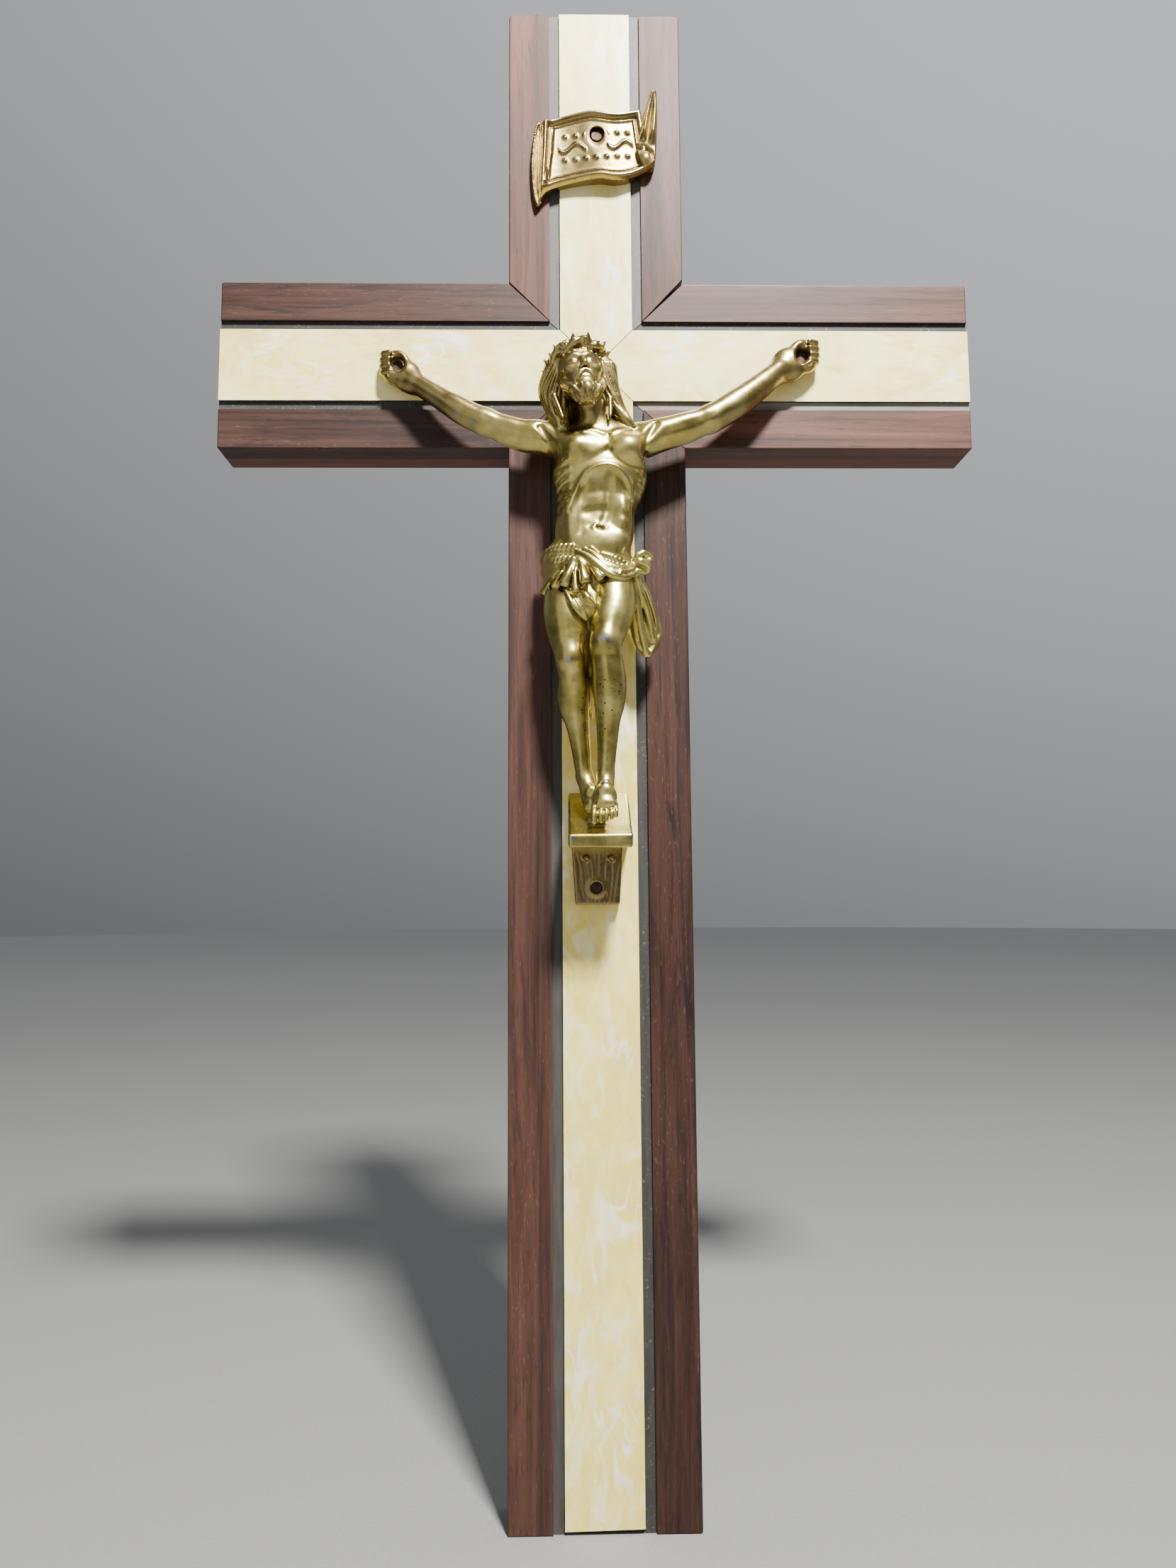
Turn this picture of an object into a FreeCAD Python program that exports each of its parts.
"""Wall crucifix: a built-up rosewood cross inlaid with pearl, a cast figure and scroll, and a back hanger.

Frame: +X along the arms, +Z up, and the decorated front faces -Y. The origin is the middle of the foot end,
halfway through the cross's thickness. All sizes are in millimetres. A "level" is a distance along -Y, so
the cross runs from minus half its thickness, at the back, to plus half its thickness, at the front.
"""

import FreeCAD, Part
import math
import os
import Sketcher
from FreeCAD import Matrix, Placement, Rotation, Vector

SIZES = {
    # the cross
    "height": 337.0,
    "span": 171.0,
    "thickness": 11.0,
    "upright_width": 40.0,
    "arm_width": 39.5,
    "crossing": 250.0,
    "back_thickness": 5.0,
    "end_corner_radius": 0.5,
    "top_corner_radius": 1.3,
    "edge_radius": 0.35,
    # the inlay, measured from each limb's centre line
    "upright_rail_inner": 10.6,
    "arm_rail_inner": 10.6,
    "upright_pearl_half": 8.2,
    "arm_pearl_half": 8.45,
    "fillet_recess": 0.7,
    "pearl_thickness": 1.2,
    "pearl_foot_gap": 1.0,
    "pearl_foot_slant": 0.15,
    "mitre_gap": 0.12,
    "left_mitre_opening": 0.5,
    "right_mitre_opening": 1.3,
    # the four nails, all alike
    "nail_length": 9.0,
    "nail_radius": 0.6,
    "nail_head_radius": 1.2,
    "nail_head_thickness": 0.6,
    "nail_point": 1.5,
    "nail_tip_radius": 0.1,
    "nail_sink_radius": 1.6,
    # how far in front of the cross the underside of each nail's head sits
    "palm_seat": 1.6,
    "bracket_seat": 1.2,
    "scroll_seat": 1.0,
    # the scroll
    "scroll_standoff": 0.3,
    "scroll_thickness": 1.5,
    "scroll_curl_radius": 1.6,
    # the figure's footrest, and the bracket that it stands out from
    "footrest_half_width": 6.4,
    "footrest_back_top": -96.7,
    "footrest_front_top": -108.2,
    "footrest_bottom": -110.6,
    "footrest_depth": 16.0,
    "bracket_top": -99.0,
    "bracket_bottom": -122.2,
    "bracket_top_half_width": 6.2,
    "bracket_bottom_half_width": 4.8,
    "bracket_thickness": 2.6,
    "bracket_centre": -0.7,
    "boss_radius": 0.9,
    "boss_spacing": 5.2,
    "boss_centre": -112.1,
    # the back hanger
    "hanger_centre": 315.0,
    "plate_length": 34.0,
    "plate_width": 9.0,
    "plate_thickness": 0.8,
    "barrel_length": 9.0,
    "barrel_radius": 1.7,
    "ring_wire_radius": 0.9,
    "ring_width": 18.0,
    "ring_drop": 14.5,
    "ring_plate_gap": 0.3,
    "ring_bend": 1.8,
    "hinge_clearance": 0.06,
    "screw_spacing": 26.0,
    "screw_radius": 1.1,
    "screw_head_radius": 2.1,
    "screw_length": 4.2,
    "screw_point": 1.5,
    "screw_tip_radius": 0.2,
    "screw_slot_width": 0.5,
    "screw_slot_depth": 0.35,
}

# The figure's joints: x, distance in front of the cross, height above the crossing's centre, and radius.
JOINTS = {
    "hand_right": (-46.2, 2.8, -1.6, 2.9),
    "wrist_right": (-41.4, 3.4, -6.0, 1.9),
    "elbow_right": (-24.4, 6.8, -17.6, 2.8),
    "shoulder_right": (-9.0, 8.2, -22.0, 3.6),
    "hand_left": (47.2, 2.8, 1.0, 2.9),
    "wrist_left": (41.6, 3.4, -3.0, 1.9),
    "elbow_left": (25.4, 6.8, -16.0, 2.8),
    "shoulder_left": (10.6, 8.2, -21.6, 3.6),
    "hip_right": (-5.6, 7.8, -52.0, 5.2),
    "knee_right": (-5.6, 12.4, -72.0, 3.7),
    "ankle_right": (-3.2, 8.0, -96.0, 1.8),
    "toes_right": (-1.8, 11.6, -104.4, 1.9),
    "hip_left": (3.4, 8.4, -52.0, 5.2),
    "knee_left": (1.0, 15.0, -68.5, 3.9),
    "ankle_left": (0.9, 10.2, -95.0, 2.0),
    "toes_left": (1.2, 14.2, -105.6, 2.1),
}

LIMBS = (
    ("hand_right", "wrist_right", "elbow_right", "shoulder_right"),
    ("hand_left", "wrist_left", "elbow_left", "shoulder_left"),
    ("hip_right", "knee_right", "ankle_right", "toes_right"),
    ("hip_left", "knee_left", "ankle_left", "toes_left"),
)

# The figure's masses: centre as for a joint, then half-sizes across, in depth and in height.
MASSES = {
    "chest": (0.8, 8.2, -27.6, 10.4, 6.6, 9.6),
    "waist": (-0.6, 7.6, -40.5, 8.7, 5.2, 10.5),
    "pelvis": (-1.2, 7.8, -50.5, 10.0, 5.8, 7.8),
    "neck": (-0.6, 10.0, -18.5, 4.2, 4.4, 6.5),
    "head": (-3.8, 11.5, -10.5, 6.3, 7.2, 8.2),
    "hair": (-4.0, 8.8, -12.0, 8.4, 5.6, 9.4),
    "beard": (-1.2, 16.0, -17.2, 3.6, 3.6, 4.6),
    "cloth_front": (-3.4, 12.0, -54.0, 5.2, 2.6, 6.2),
    "cloth_tail": (10.2, 8.0, -59.0, 3.4, 3.0, 9.6),
}

# The four nails: x, height above the crossing's centre, and the size that gives the seat of its head.
NAILS = {
    "right_palm": (-44.8, -1.3, "palm_seat"),
    "left_palm": (46.5, 0.9, "palm_seat"),
    "bracket": (-0.9, -118.6, "bracket_seat"),
    "scroll": (0.4, 55.1, "scroll_seat"),
}

# The scroll's outline: x and height above the crossing's centre.
SCROLL_TOP = ((-12.6, 59.0), (-5.0, 60.2), (2.0, 61.6), (11.4, 62.2))
SCROLL_BOTTOM = ((12.8, 45.6), (6.0, 42.6), (-3.0, 42.6), (-11.4, 41.6))
SCROLL_FLAP = ((-12.6, 59.0), (-14.6, 57.6), (-13.2, 38.8), (-11.4, 41.6))
SCROLL_CURL = ((11.9, 45.6), (13.3, 63.4))

# How close two places on a shape are when they count as the same place.
TOUCH = 0.01
# Longer than anything here, for tools that cut right through.
FAR = 400.0
# How far each nail's sink runs out of the casting, and how far its bore starts behind the casting's back.
FIGURE_SINK = 12.0
SCROLL_SINK = 6.0
BORE_START = 0.5
# A limb's bar against the balls at its joints, so that the joints stand out a little.
LIMB_FULLNESS = 0.94
# Which way each of the hanger's screws has its slot turned, from level, in degrees.
SCREW_TURNS = {-0.5: 20, 0.5: -35}

BACK = "-Sizes.thickness/2"
FRONT = "Sizes.thickness/2"
JOIN = "Sizes.back_thickness-Sizes.thickness/2"
HALF_LAP = "Sizes.back_thickness/2-Sizes.thickness/2"
PEARL_BACK = "Sizes.thickness/2-Sizes.pearl_thickness"


def fill_sheet(doc):
    """Put every driving size in the spreadsheet, one alias to a row."""
    rows = dict(SIZES)
    for name, values in JOINTS.items():
        rows.update(zip([f"{name}_{part}" for part in ("x", "front", "up", "radius")], values))
    for name, values in MASSES.items():
        parts = ("x", "front", "up", "half_x", "half_front", "half_up")
        rows.update(zip([f"{name}_{part}" for part in parts], values))
    for name, (x, up, _seat) in NAILS.items():
        rows[f"{name}_nail_x"] = x
        rows[f"{name}_nail_up"] = up
    sheet = doc.addObject("Spreadsheet::Sheet", "Sizes")
    for row, (alias, value) in enumerate(rows.items(), start=1):
        sheet.set(f"A{row}", alias)
        sheet.set(f"B{row}", str(value))
        sheet.setAlias(f"B{row}", alias)
    doc.recompute()
    return sheet


def value_of(doc, text):
    """The number that an expression on the sheet gives."""
    return float(doc.Sizes.evalExpression(text.replace("Sizes.", "")))


def size(doc, alias):
    """One size from the sheet."""
    return float(getattr(doc.Sizes, alias))


def new_body(doc, label):
    """An empty body with the label that names its file."""
    body = doc.addObject("PartDesign::Body", label)
    body.Label = label
    return body


def new_sketch(body, name, level):
    """A sketch seen from the front, where x is X, y is Z and the normal is -Y, at a level."""
    plane = [one for one in body.Origin.OriginFeatures if one.Role == "XZ_Plane"][0]
    sketch = body.newObject("Sketcher::SketchObject", name)
    sketch.AttachmentSupport = [(plane, "")]
    sketch.MapMode = "FlatFace"
    sketch.setExpression(".AttachmentOffset.Base.z", level)
    return sketch


def bind(doc, sketch, kind, geometry, point, text):
    """Tie one point of the sketch, or a circle's radius, to the sheet."""
    if kind == "Radius":
        constraint = Sketcher.Constraint(kind, geometry, value_of(doc, text))
    else:
        constraint = Sketcher.Constraint(kind, -1, 1, geometry, point, value_of(doc, text))
    index = sketch.addConstraint(constraint)
    sketch.setExpression(f"Constraints[{index}]", text)


def draw_polygon(doc, sketch, corners):
    """A closed polygon whose corners are pairs of expressions."""
    places = [Vector(value_of(doc, across), value_of(doc, up), 0) for across, up in corners]
    count = len(places)
    for index in range(count):
        sketch.addGeometry(Part.LineSegment(places[index], places[(index + 1) % count]), False)
    for index in range(count):
        sketch.addConstraint(Sketcher.Constraint("Coincident", index, 2, (index + 1) % count, 1))
    for index, (across, up) in enumerate(corners):
        bind(doc, sketch, "DistanceX", index, 1, across)
        bind(doc, sketch, "DistanceY", index, 1, up)


def draw_circle(doc, sketch, across, up, radius):
    """A circle whose centre and radius are expressions."""
    centre = Vector(value_of(doc, across), value_of(doc, up), 0)
    sketch.addGeometry(Part.Circle(centre, Vector(0, 0, 1), value_of(doc, radius)), False)
    bind(doc, sketch, "DistanceX", 0, 3, across)
    bind(doc, sketch, "DistanceY", 0, 3, up)
    bind(doc, sketch, "Radius", 0, 0, radius)


def pad_between(body, sketch, back, front):
    """Thicken a sketch that lies at the level back, up to the level front."""
    pad = body.newObject("PartDesign::Pad", f"{body.Name}_pad")
    pad.Profile = sketch
    pad.setExpression("Length", f"({front})-({back})")
    sketch.Visibility = False
    body.Document.recompute()
    return pad


def cut_between(body, sketch, back, front):
    """Pocket a sketch that lies at the level front, down to the level back, and check that it cut."""
    before = body.Shape.Volume
    pocket = body.newObject("PartDesign::Pocket", f"{sketch.Name}_pocket")
    pocket.Profile = sketch
    pocket.setExpression("Length", f"({front})-({back})")
    sketch.Visibility = False
    body.Document.recompute()
    if not body.Shape.Volume < before:
        raise RuntimeError(f"{pocket.Name} cut nothing")
    return pocket


def strip(doc, label, corners, back, front):
    """A flat strip of wood or pearl: a polygon thickened between two levels."""
    body = new_body(doc, label)
    sketch = new_sketch(body, f"{label}_outline", back)
    draw_polygon(doc, sketch, corners)
    pad_between(body, sketch, back, front)
    return body


def round_edges(body, name, radius, wanted):
    """Fillet the edges whose ends both pass the test."""
    base = body.Tip
    names = []
    for index, edge in enumerate(base.Shape.Edges, start=1):
        if wanted(*[vertex.Point for vertex in edge.Vertexes]):
            names.append(f"Edge{index}")
    if not names:
        raise RuntimeError(f"{name} found no edges")
    fillet = body.newObject("PartDesign::Fillet", name)
    fillet.Base = (base, names)
    fillet.setExpression("Radius", radius)
    body.Document.recompute()


def across_thickness(one, other):
    """Whether an edge runs straight from back to front."""
    return abs(one.x - other.x) < TOUCH and abs(one.z - other.z) < TOUCH


def round_end_corners(body, radius, reach):
    """Round the corners, seen from the front, that reach tests as the limb's outer end corners."""
    def wanted(*ends):
        return len(ends) == 2 and across_thickness(*ends) and reach(ends[0])
    round_edges(body, f"{body.Name}_corners", radius, wanted)


def soften_edge(body, on_edge):
    """Break the sharp edge that on_edge picks out."""
    def wanted(*ends):
        return len(ends) == 2 and all(on_edge(end) for end in ends)
    round_edges(body, f"{body.Name}_edge", "Sizes.edge_radius", wanted)


def drill_for_nail(doc, body, nail, back, front):
    """Bore one nail's hole through a body, between two levels."""
    sketch = new_sketch(body, f"{body.Name}_{nail}_hole", front)
    across = f"Sizes.{nail}_nail_x"
    up = f"Sizes.crossing+Sizes.{nail}_nail_up"
    draw_circle(doc, sketch, across, up, "Sizes.nail_radius")
    cut_between(body, sketch, back, front)


def build_back_boards(doc):
    """Two boards, one up and one across, half-lapped where they cross."""
    half = "Sizes.upright_width/2"
    upright = strip(doc, "upright_board", [
        (f"-{half}", "0"), (half, "0"), (half, "Sizes.height"), (f"-{half}", "Sizes.height"),
    ], BACK, JOIN)
    low = "Sizes.crossing-Sizes.arm_width/2"
    high = "Sizes.crossing+Sizes.arm_width/2"
    lap = new_sketch(upright, "upright_lap", JOIN)
    draw_polygon(doc, lap, [(f"-{half}", low), (half, low), (half, high), (f"-{half}", high)])
    cut_between(upright, lap, HALF_LAP, JOIN)

    end = "Sizes.span/2"
    crossbar = strip(doc, "crossbar_board", [
        (f"-{end}", low), (end, low), (end, high), (f"-{end}", high),
    ], BACK, JOIN)
    lap = new_sketch(crossbar, "crossbar_lap", HALF_LAP)
    draw_polygon(doc, lap, [(f"-{half}", low), (half, low), (half, high), (f"-{half}", high)])
    cut_between(crossbar, lap, BACK, HALF_LAP)

    height = size(doc, "height")
    reach = size(doc, "span") / 2
    back = size(doc, "thickness") / 2
    round_end_corners(upright, "Sizes.top_corner_radius", lambda p: p.z > height - TOUCH)
    round_end_corners(crossbar, "Sizes.end_corner_radius", lambda p: abs(p.x) > reach - TOUCH)
    soften_edge(upright, lambda p: p.y > back - TOUCH and p.z < TOUCH)
    drill_for_nail(doc, upright, "bracket", BACK, JOIN)
    drill_for_nail(doc, upright, "scroll", BACK, JOIN)
    drill_for_nail(doc, crossbar, "right_palm", BACK, JOIN)
    drill_for_nail(doc, crossbar, "left_palm", BACK, JOIN)
    return [upright, crossbar]


def sign(number):
    """A sign to put in front of an expression."""
    return "-" if number < 0 else ""


def upright_strip(doc, label, side, up, outer, inner, levels, openings):
    """A mitred strip along the upright, side -1 for left or 1 for right, up 1 for the top or -1 for the foot.

    outer and inner are pairs of half-widths, the upright's and then the crossbar's. openings are the gaps
    left at the mitre's outer and inner ends.
    """
    end = "Sizes.height" if up > 0 else "0"
    joint = "+" if up > 0 else "-"
    corners = [
        (f"{sign(side)}{outer[0]}", end),
        (f"{sign(side)}{inner[0]}", end),
        (f"{sign(side)}{inner[0]}", f"Sizes.crossing{joint}({inner[1]}+{openings[1]})"),
        (f"{sign(side)}{outer[0]}", f"Sizes.crossing{joint}({outer[1]}+{openings[0]})"),
    ]
    return strip(doc, label, corners, *levels)


def arm_strip(doc, label, side, across, outer, inner, levels, opening):
    """A mitred strip along an arm: side is 1 for upper or -1 for lower, across is -1 for the left arm."""
    joint = "+" if side > 0 else "-"
    corners = [
        (f"{sign(across)}Sizes.span/2", f"Sizes.crossing{joint}{outer[1]}"),
        (f"{sign(across)}Sizes.span/2", f"Sizes.crossing{joint}{inner[1]}"),
        (f"{sign(across)}({inner[0]}+{opening})", f"Sizes.crossing{joint}{inner[1]}"),
        (f"{sign(across)}({outer[0]}+{opening})", f"Sizes.crossing{joint}{outer[1]}"),
    ]
    return strip(doc, label, corners, *levels)


def build_mitred_strips(doc):
    """Eight rosewood rails, and inside each a narrow fillet that lies a little lower."""
    outer = ("Sizes.upright_width/2", "Sizes.arm_width/2")
    middle = ("Sizes.upright_rail_inner", "Sizes.arm_rail_inner")
    inner = ("Sizes.upright_pearl_half", "Sizes.arm_pearl_half")
    rail_levels = (JOIN, FRONT)
    fillet_levels = (JOIN, "Sizes.thickness/2-Sizes.fillet_recess")
    gap = "Sizes.mitre_gap"
    opened = {-1: "Sizes.left_mitre_opening", 1: "Sizes.right_mitre_opening"}
    height = size(doc, "height")
    reach = size(doc, "span") / 2
    front = -size(doc, "thickness") / 2
    side_edge = size(doc, "upright_width") / 2
    arm_edge = size(doc, "arm_width") / 2
    crossing = size(doc, "crossing")
    bodies = []
    for side, side_name in ((-1, "left"), (1, "right")):
        for up, end_name in ((1, "top"), (-1, "foot")):
            openings = (opened[side], gap) if up > 0 else (gap, gap)
            rail = upright_strip(doc, f"rail_{end_name}_{side_name}", side, up, outer, middle,
                                 rail_levels, openings)
            radius = "Sizes.top_corner_radius" if up > 0 else "Sizes.end_corner_radius"
            end = height if up > 0 else 0.0
            round_end_corners(rail, radius,
                              lambda p: abs(p.z - end) < TOUCH and abs(abs(p.x) - side_edge) < TOUCH)
            soften_edge(rail, lambda p: abs(p.y - front) < TOUCH and abs(abs(p.x) - side_edge) < TOUCH)
            fillet = upright_strip(doc, f"fillet_{end_name}_{side_name}", side, up, middle, inner,
                                   fillet_levels, (gap, gap))
            bodies += [rail, fillet]
    for across, end_name in ((-1, "left"), (1, "right")):
        for side, side_name in ((1, "upper"), (-1, "lower")):
            rail = arm_strip(doc, f"rail_{end_name}_{side_name}", side, across, outer, middle,
                             rail_levels, gap)
            edge = crossing + side * arm_edge
            round_end_corners(rail, "Sizes.end_corner_radius",
                              lambda p: abs(p.x) > reach - TOUCH and abs(p.z - edge) < TOUCH)
            soften_edge(rail, lambda p: abs(p.y - front) < TOUCH and abs(p.z - edge) < TOUCH)
            fillet = arm_strip(doc, f"fillet_{end_name}_{side_name}", side, across, middle, inner,
                               fillet_levels, gap)
            bodies += [rail, fillet]
    return bodies


def build_pearl(doc):
    """Four pearl strips that meet in points at the crossing's centre, each on a slat of bedding wood."""
    half = "Sizes.upright_pearl_half"
    arm_half = "Sizes.arm_pearl_half"
    gap = "Sizes.mitre_gap"
    levels = (PEARL_BACK, FRONT)
    above = f"Sizes.crossing+{arm_half}+{gap}"
    top = strip(doc, "pearl_top", [
        (f"-{half}", "Sizes.height"), (half, "Sizes.height"),
        (half, above), ("0", f"Sizes.crossing+{gap}"), (f"-{half}", above),
    ], *levels)
    below = f"Sizes.crossing-{arm_half}-{gap}"
    foot_left = "Sizes.pearl_foot_gap-Sizes.pearl_foot_slant"
    foot_right = "Sizes.pearl_foot_gap+Sizes.pearl_foot_slant"
    foot = strip(doc, "pearl_foot", [
        (f"-{half}", foot_left), (half, foot_right),
        (half, below), ("0", f"Sizes.crossing-{gap}"), (f"-{half}", below),
    ], *levels)
    arms = []
    for across, name in ((-1, "left"), (1, "right")):
        minus = sign(across)
        arms.append(strip(doc, f"pearl_{name}", [
            (f"{minus}Sizes.span/2", f"Sizes.crossing+{arm_half}"),
            (f"{minus}Sizes.span/2", f"Sizes.crossing-{arm_half}"),
            (f"{minus}({half}+{gap})", f"Sizes.crossing-{arm_half}"),
            (f"{minus}{gap}", "Sizes.crossing"),
            (f"{minus}({half}+{gap})", f"Sizes.crossing+{arm_half}"),
        ], *levels))
    bed_levels = (JOIN, PEARL_BACK)
    bed = strip(doc, "bed_upright", [
        (f"-{half}", "0"), (half, "0"), (half, "Sizes.height"), (f"-{half}", "Sizes.height"),
    ], *bed_levels)
    beds = [bed]
    for across, name in ((-1, "left"), (1, "right")):
        minus = sign(across)
        beds.append(strip(doc, f"bed_arm_{name}", [
            (f"{minus}Sizes.span/2", f"Sizes.crossing-{arm_half}"),
            (f"{minus}{half}", f"Sizes.crossing-{arm_half}"),
            (f"{minus}{half}", f"Sizes.crossing+{arm_half}"),
            (f"{minus}Sizes.span/2", f"Sizes.crossing+{arm_half}"),
        ], *bed_levels))
    for nail, skin, slat in (("right_palm", arms[0], beds[1]), ("left_palm", arms[1], beds[2]),
                             ("bracket", foot, bed), ("scroll", top, bed)):
        drill_for_nail(doc, skin, nail, *levels)
        drill_for_nail(doc, slat, nail, *bed_levels)
    return [top, foot] + arms + beds


def shape_node(doc, label, shape):
    """A Part::Feature that holds one finished shape."""
    node = doc.addObject("Part::Feature", label)
    node.Label = label
    node.Shape = shape
    return node


def at(doc, x, front, up):
    """A point given by x, the distance in front of the cross, and the height above the crossing's centre."""
    return Vector(x, -size(doc, "thickness") / 2 - front, size(doc, "crossing") + up)


def joint(doc, name):
    """A joint's place and radius, from the sheet."""
    values = [size(doc, f"{name}_{part}") for part in ("x", "front", "up", "radius")]
    return at(doc, *values[:3]), values[3]


def limb(start, start_radius, end, end_radius):
    """A tapered bar between two points."""
    along = end - start
    return Part.makeCone(start_radius, end_radius, along.Length, start, along)


def ellipsoid(doc, name):
    """A ball stretched to a mass's three half-sizes."""
    values = [size(doc, f"{name}_{part}") for part in ("x", "front", "up", "half_x", "half_front", "half_up")]
    stretch = Matrix()
    stretch.scale(*values[3:])
    ball = Part.makeSphere(1.0).transformGeometry(stretch)
    ball.translate(at(doc, *values[:3]))
    return ball


def figure_solids(doc):
    """The body, head, limbs and cloth, as solids to be joined."""
    solids = [ellipsoid(doc, name) for name in MASSES]
    for names in LIMBS:
        places = [joint(doc, name) for name in names]
        for centre, radius in places:
            solids.append(Part.makeSphere(radius, centre))
        for (start, start_radius), (end, end_radius) in zip(places, places[1:]):
            solids.append(limb(start, start_radius * LIMB_FULLNESS, end, end_radius * LIMB_FULLNESS))
    return solids


def footrest_solids(doc):
    """The sloping footrest and the tapered bracket behind it, with its two bosses."""
    half = size(doc, "footrest_half_width")
    depth = size(doc, "footrest_depth")
    bottom = size(doc, "footrest_bottom")
    side = Part.makePolygon([
        at(doc, -half, 0, size(doc, "footrest_back_top")),
        at(doc, -half, depth, size(doc, "footrest_front_top")),
        at(doc, -half, depth, bottom),
        at(doc, -half, 0, bottom),
        at(doc, -half, 0, size(doc, "footrest_back_top")),
    ])
    block = Part.Face(side).extrude(Vector(2 * half, 0, 0))
    top_half = size(doc, "bracket_top_half_width")
    foot_half = size(doc, "bracket_bottom_half_width")
    top = size(doc, "bracket_top")
    foot = size(doc, "bracket_bottom")
    middle = size(doc, "bracket_centre")
    face = Part.makePolygon([
        at(doc, middle - top_half, 0, top), at(doc, middle + top_half, 0, top),
        at(doc, middle + foot_half, 0, foot), at(doc, middle - foot_half, 0, foot),
        at(doc, middle - top_half, 0, top),
    ])
    thickness = size(doc, "bracket_thickness")
    bracket = Part.Face(face).extrude(Vector(0, -thickness, 0))
    bosses = []
    for side_sign in (-0.5, 0.5):
        x = middle + side_sign * size(doc, "boss_spacing")
        centre = at(doc, x, thickness, size(doc, "boss_centre"))
        bosses.append(Part.makeSphere(size(doc, "boss_radius"), centre))
    return [block, bracket] + bosses


def nail_holes(doc, names, reach):
    """Each nail's bore, and the wider sink that takes its head, as tools to cut with."""
    tools = []
    for name in names:
        x = size(doc, f"{name}_nail_x")
        up = size(doc, f"{name}_nail_up")
        seat = size(doc, NAILS[name][2])
        front = Vector(0, -1, 0)
        start = at(doc, x, -BORE_START, up)
        tools.append(Part.makeCylinder(size(doc, "nail_radius"), seat + 2 * BORE_START, start, front))
        tools.append(Part.makeCylinder(size(doc, "nail_sink_radius"), reach, at(doc, x, seat, up), front))
    return tools


def build_corpus(doc):
    """The cast figure, one piece with its footrest and bracket, flat where it meets the cross."""
    solids = figure_solids(doc) + footrest_solids(doc)
    whole = solids[0].multiFuse(solids[1:])
    behind = Part.makeBox(FAR, FAR, FAR, at(doc, -FAR / 2, 0, -FAR / 2))
    whole = whole.cut(behind)
    whole = whole.cut(Part.makeCompound(nail_holes(doc, ("right_palm", "left_palm", "bracket"), FIGURE_SINK)))
    return shape_node(doc, "corpus", whole)


def scroll_edge(doc, points, front):
    """A smooth edge through the given points."""
    curve = Part.BSplineCurve()
    curve.interpolate([at(doc, x, front, up) for x, up in points])
    return curve.toShape()


def build_scroll(doc):
    """The cast scroll: a waved plate, its left end folded back and its right end rolled up."""
    back = size(doc, "scroll_standoff")
    through = Vector(0, -size(doc, "scroll_thickness"), 0)
    top = scroll_edge(doc, SCROLL_TOP, back)
    bottom = scroll_edge(doc, SCROLL_BOTTOM, back)
    right = Part.makeLine(at(doc, SCROLL_TOP[-1][0], back, SCROLL_TOP[-1][1]),
                          at(doc, SCROLL_BOTTOM[0][0], back, SCROLL_BOTTOM[0][1]))
    left = Part.makeLine(at(doc, SCROLL_BOTTOM[-1][0], back, SCROLL_BOTTOM[-1][1]),
                         at(doc, SCROLL_TOP[0][0], back, SCROLL_TOP[0][1]))
    plate = Part.Face(Part.Wire([top, right, bottom, left])).extrude(through)
    flap_corners = [at(doc, x, 0.0, up) for x, up in SCROLL_FLAP]
    flap_outline = Part.makePolygon(flap_corners + flap_corners[:1])
    flap = Part.Face(flap_outline).extrude(through)
    radius = size(doc, "scroll_curl_radius")
    (foot_x, foot_up), (head_x, head_up) = SCROLL_CURL
    foot = at(doc, foot_x, radius, foot_up)
    head = at(doc, head_x, radius, head_up)
    curl = Part.makeCylinder(radius, (head - foot).Length, foot, head - foot)
    whole = plate.multiFuse([flap, curl])
    whole = whole.cut(Part.makeCompound(nail_holes(doc, ("scroll",), SCROLL_SINK)))
    return shape_node(doc, "scroll", whole)


def build_nails(doc):
    """Four alike nails with flat heads, each driven straight in from the front."""
    head = size(doc, "nail_head_radius")
    thickness = size(doc, "nail_head_thickness")
    radius = size(doc, "nail_radius")
    length = size(doc, "nail_length")
    point = size(doc, "nail_point")
    tip_radius = size(doc, "nail_tip_radius")
    inward = Vector(0, 1, 0)
    nails = []
    for name, (_x, _up, seat) in NAILS.items():
        under = at(doc, size(doc, f"{name}_nail_x"), size(doc, seat), size(doc, f"{name}_nail_up"))
        cap = Part.makeCylinder(head, thickness, under, -inward)
        shank = Part.makeCylinder(radius, length - point, under, inward)
        tip = Part.makeCone(radius, tip_radius, point, under + inward * (length - point), inward)
        nails.append(cap.multiFuse([shank, tip]).removeSplitter())
    return shape_node(doc, "fixing_nails", Part.makeCompound(nails))


def hinge_centre(doc):
    """The middle of the ring's straight bar, behind the hanger's plate."""
    behind = size(doc, "thickness") / 2 + size(doc, "plate_thickness") + size(doc, "ring_plate_gap")
    return Vector(0, behind + size(doc, "ring_wire_radius"), size(doc, "hanger_centre"))


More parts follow.
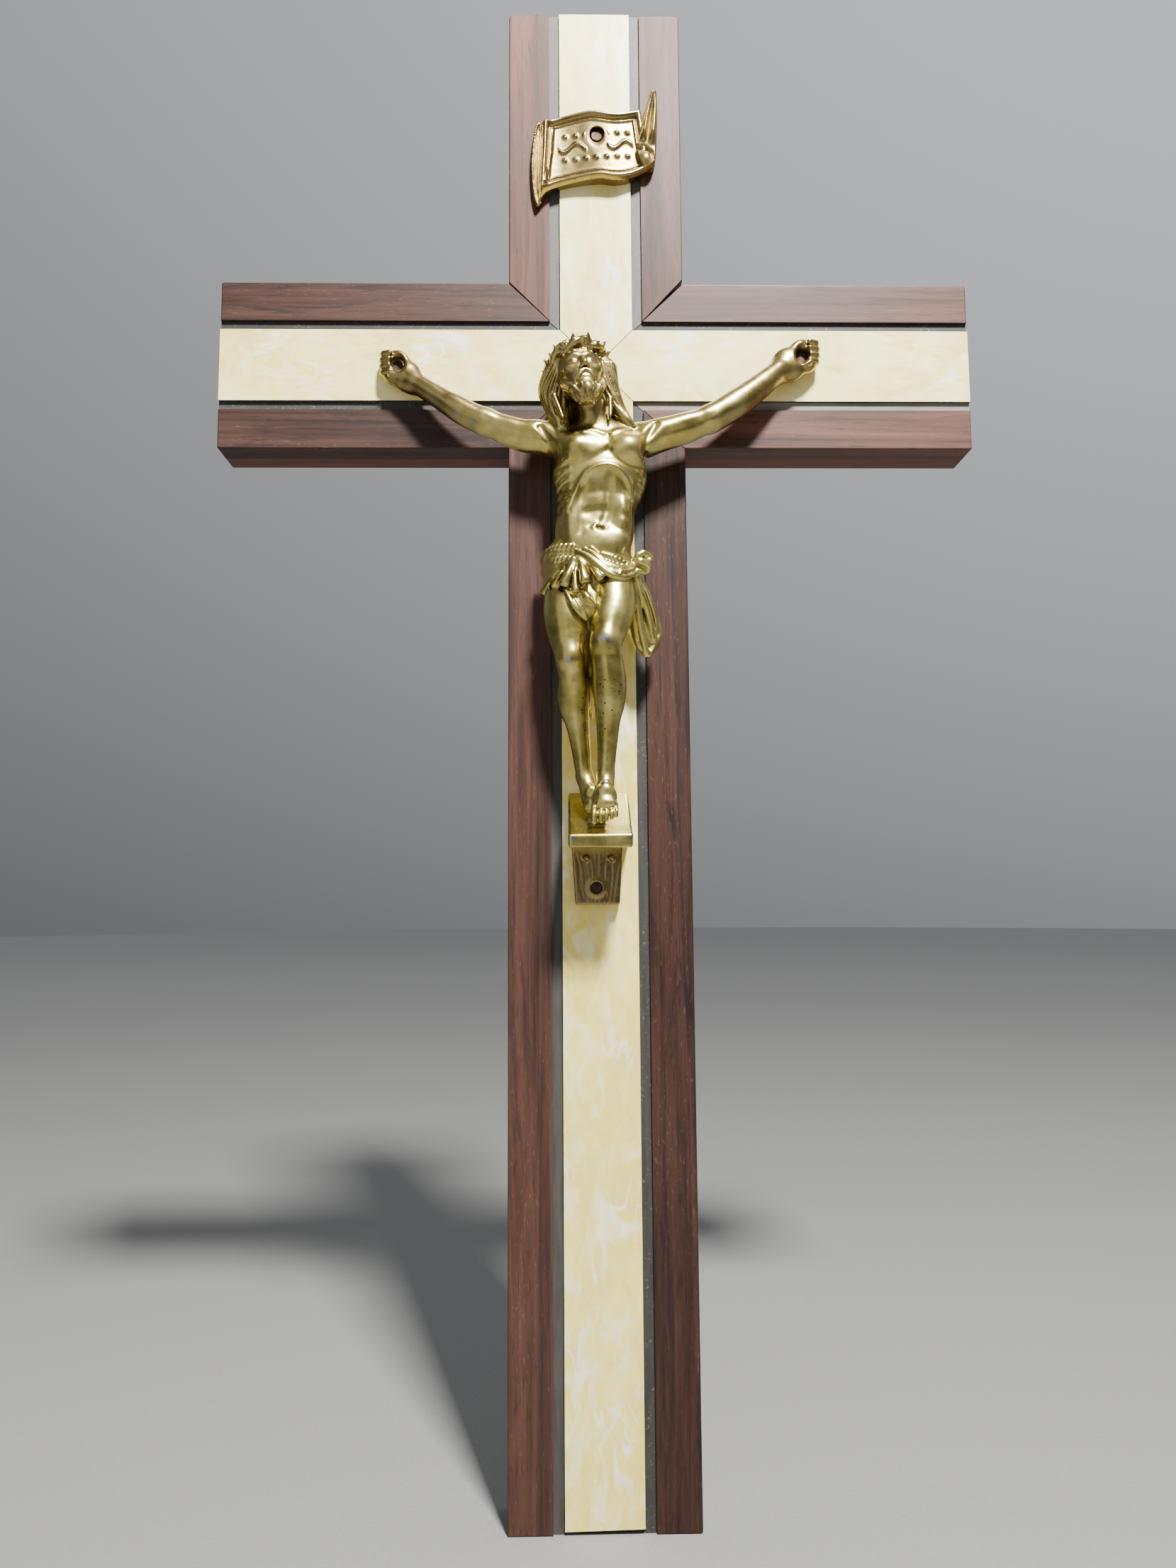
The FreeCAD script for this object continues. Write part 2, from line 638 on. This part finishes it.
def build_hanger_plate(doc):
    """A brass plate with round ends, a barrel for the ring across its middle, and two screw holes."""
    half = (size(doc, "plate_length") - size(doc, "plate_width")) / 2
    width = size(doc, "plate_width")
    thickness = size(doc, "plate_thickness")
    back = size(doc, "thickness") / 2
    middle = size(doc, "hanger_centre")
    outward = Vector(0, 1, 0)
    plate = Part.makeBox(2 * half, thickness, width, Vector(-half, back, middle - width / 2))
    for end in (-half, half):
        plate = plate.fuse(Part.makeCylinder(width / 2, thickness, Vector(end, back, middle), outward))
    centre = hinge_centre(doc)
    length = size(doc, "barrel_length")
    start = centre - Vector(length / 2, 0, 0)
    along = Vector(1, 0, 0)
    barrel = Part.makeCylinder(size(doc, "barrel_radius"), length, start, along)
    in_front = Part.makeBox(FAR, FAR, FAR, Vector(-FAR / 2, back - FAR, 0))
    barrel = barrel.cut(in_front)
    bore_radius = size(doc, "ring_wire_radius") + size(doc, "hinge_clearance")
    bore = Part.makeCylinder(bore_radius, length + 2, start - along, along)
    whole = plate.fuse(barrel).cut(bore).removeSplitter()
    for x in (-0.5, 0.5):
        place = Vector(x * size(doc, "screw_spacing"), back, middle)
        whole = whole.cut(Part.makeCone(
            size(doc, "screw_radius"), size(doc, "screw_head_radius"), thickness, place, outward))
    return shape_node(doc, "hanger_plate", whole)


def build_hanger_screws(doc):
    """Two countersunk screws with slotted heads, flush with the hanger's plate."""
    back = size(doc, "thickness") / 2
    thickness = size(doc, "plate_thickness")
    radius = size(doc, "screw_radius")
    head_radius = size(doc, "screw_head_radius")
    depth = size(doc, "screw_slot_depth")
    width = size(doc, "screw_slot_width")
    length = size(doc, "screw_length")
    point = size(doc, "screw_point")
    tip_radius = size(doc, "screw_tip_radius")
    outward = Vector(0, 1, 0)
    screws = []
    for x, turn in SCREW_TURNS.items():
        under = Vector(x * size(doc, "screw_spacing"), back, size(doc, "hanger_centre"))
        head = Part.makeCone(radius, head_radius, thickness, under, outward)
        shank = Part.makeCylinder(radius, length - point, under, -outward)
        tip = Part.makeCone(radius, tip_radius, point, under - outward * (length - point), -outward)
        slot = Part.makeBox(4 * head_radius, 2 * depth, width, Vector(-2 * head_radius, 0, -width / 2))
        slot.Placement = Placement(under + outward * (thickness - depth), Rotation(outward, turn))
        screws.append(head.multiFuse([shank, tip]).removeSplitter().cut(slot))
    return shape_node(doc, "hanger_screws", Part.makeCompound(screws))


def build_hanging_ring(doc):
    """A D-shaped wire ring: a straight bar that turns in the barrel, and a bow that hangs below it."""
    wire = size(doc, "ring_wire_radius")
    half = size(doc, "ring_width") / 2 - wire
    drop = size(doc, "ring_drop") - wire
    centre = hinge_centre(doc)
    bend = size(doc, "ring_bend")
    straight = drop - half
    side = Vector(half, 0, 0)
    corner = Vector(bend, 0, 0)
    down = Vector(0, 0, -1)
    near = math.sqrt(0.5)
    left_bar = centre - side + corner
    right_bar = centre + side - corner
    left_top = centre - side + down * bend
    right_top = centre + side + down * bend
    left_low = centre - side + down * straight
    right_low = centre + side + down * straight
    left_bend = left_bar + down * bend - Vector(bend * near, 0, -bend * near)
    right_bend = right_bar + down * bend + Vector(bend * near, 0, bend * near)
    path = Part.Wire([
        Part.makeLine(left_bar, right_bar),
        Part.Arc(right_bar, right_bend, right_top).toShape(),
        Part.makeLine(right_top, right_low),
        Part.Arc(right_low, centre + down * drop, left_low).toShape(),
        Part.makeLine(left_low, left_top),
        Part.Arc(left_top, left_bend, left_bar).toShape(),
    ])
    section = Part.Wire(Part.makeCircle(wire, left_bar, Vector(1, 0, 0)))
    ring = path.makePipeShell([section], True, True)
    return shape_node(doc, "hanging_ring", ring)


def drill_screw_pilots(doc, board):
    """Two blind pilot holes in the upright board's back for the hanger's screws."""
    for name, side_sign in (("left", "-"), ("right", "")):
        sketch = new_sketch(board, f"{name}_screw_pilot", BACK)
        draw_circle(doc, sketch, f"{side_sign}Sizes.screw_spacing/2", "Sizes.hanger_centre",
                    "Sizes.screw_radius")
        before = board.Shape.Volume
        pocket = board.newObject("PartDesign::Pocket", f"{name}_screw_pocket")
        pocket.Profile = sketch
        pocket.Reversed = True
        pocket.setExpression("Length", "Sizes.screw_length")
        doc.recompute()
        if not board.Shape.Volume < before:
            raise RuntimeError(f"{pocket.Name} cut nothing")


def check_and_export(doc, nodes):
    """Refuse a failed object or an unsound shape, then write one STEP file a node."""
    for thing in doc.Objects:
        if "Invalid" in thing.State or "Error" in thing.State:
            raise RuntimeError(f"{thing.Name} failed: {thing.State}")
    for node in nodes:
        if node.Shape.isNull() or not node.Shape.isValid() or not node.Shape.Solids:
            raise RuntimeError(f"{node.Label} has no sound solid")
    for node in nodes:
        node.Shape.exportStep(f"parts/{node.Label}.step")
        print(node.Label, len(node.Shape.Solids), round(node.Shape.Volume, 1))


def main():
    os.makedirs("parts", exist_ok=True)
    doc = FreeCAD.newDocument("wall_crucifix")
    fill_sheet(doc)
    boards = build_back_boards(doc)
    drill_screw_pilots(doc, boards[0])
    nodes = boards + build_mitred_strips(doc) + build_pearl(doc)
    nodes += [build_corpus(doc), build_scroll(doc), build_nails(doc)]
    nodes += [build_hanger_plate(doc), build_hanger_screws(doc), build_hanging_ring(doc)]
    check_and_export(doc, nodes)


main()
